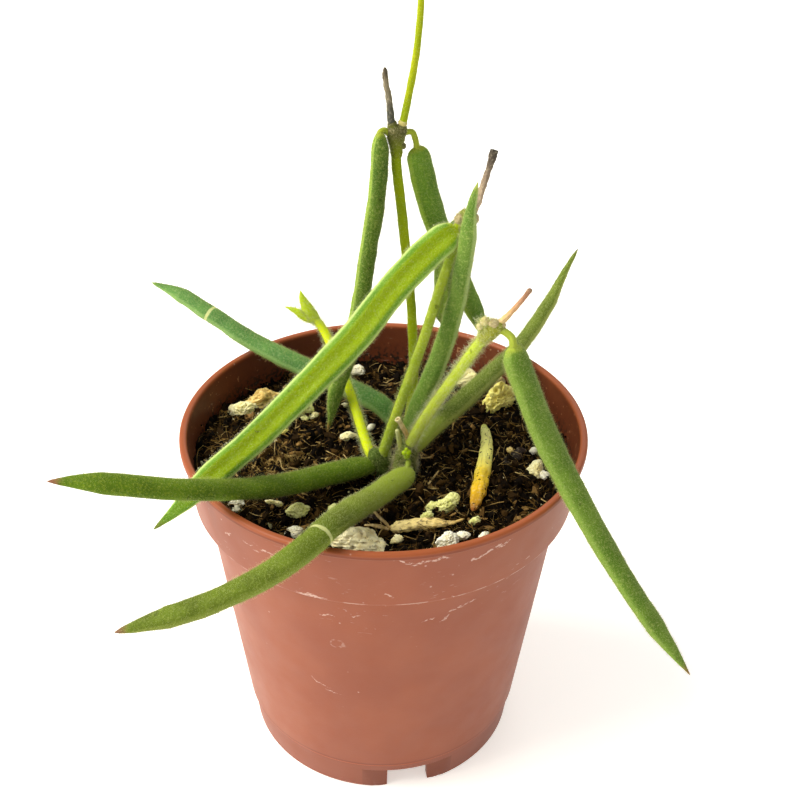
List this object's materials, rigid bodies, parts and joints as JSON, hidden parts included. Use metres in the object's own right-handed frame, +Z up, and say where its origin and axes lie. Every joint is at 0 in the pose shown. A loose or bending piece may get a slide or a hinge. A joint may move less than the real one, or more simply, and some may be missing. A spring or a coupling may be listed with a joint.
{
  "type": "potted hoya plant",
  "caption": "Small potted hoya: long narrow velvety leaves and slender stems rise from a hairy crown in peaty soil and arch over the rim of a round nursery pot.",
  "frame": {"origin": "centre of the pot's foot, on the surface the pot stands on; the leaves reach as far to the left as to the right of it", "axes": "+Z up along the pot's axis, +X to the right and -Y towards the front of the picture"},
  "size_m": [0.0843, 0.073, 0.122],
  "materials": {
    "pot": "moulded terracotta-coloured plastic, satin, faint scratches",
    "soil": "dark moist peat with fibres, matt",
    "crown": "hairy green-brown rooted base, matt",
    "node": "pale brownish swollen node with fine hairs, matt",
    "stem": "yellow-green stem with fine pale hairs, satin",
    "young_growth": "lime-green young growth, hairy, satin",
    "dead_stub": "dry grey-brown dead stem, matt",
    "leaf_velvet": "mid-green velvety leaf, satin",
    "leaf_olive": "olive-green velvety leaf, satin",
    "leaf_bluish": "bluish green velvety leaf, satin",
    "leaf_light": "light green velvety leaf, satin",
    "fallen_leaf": "yellow withered leaf, matt",
    "husk": "dry papery tan husk, matt",
    "bark": "dark bark and twig scraps, matt",
    "perlite": "white porous perlite, matt",
    "pumice": "yellowish porous pumice, matt"
  },
  "bodies": {
    "root": {"pot": "pot", "crown": "crown", "node_top": "node", "node_middle": "node", "node_right": "node", "stem_back_lower": "stem", "stem_middle": "stem", "stem_right": "stem", "young_shoot": "young_growth", "stub_top": "dead_stub", "stub_middle": "dead_stub", "stub_right": "dead_stub", "stub_crown_tall": "dead_stub", "stub_crown_short": "dead_stub", "petiole_bud": "young_growth", "stem_back_upper": "stem", "leaf_top_left": "leaf_velvet", "leaf_top_right": "leaf_bluish", "leaf_long_left": "leaf_light", "leaf_small_hanging": "leaf_velvet", "leaf_right_hanging": "leaf_velvet", "leaf_left_over_rim": "leaf_velvet", "leaf_front_over_rim": "leaf_olive", "leaf_back_left": "leaf_bluish", "leaf_back_right": "leaf_olive", "leaf_upright": "leaf_bluish", "young_leaf_upper": "young_growth", "young_leaf_lower": "young_growth", "soil": "soil", "fallen_leaf": "fallen_leaf", "dried_husk": "husk", "twig_front": "bark", "bark_scrap": "bark", "grain_01": "pumice", "grain_02": "perlite", "grain_03": "perlite", "grain_04": "pumice", "grain_05": "perlite", "grain_06": "perlite", "grain_07": "pumice", "grain_08": "pumice", "grain_09": "pumice", "grain_10": "perlite", "grain_11": "perlite", "grain_12": "perlite", "grain_13": "perlite", "grain_14": "perlite"}
  },
  "joints": []
}
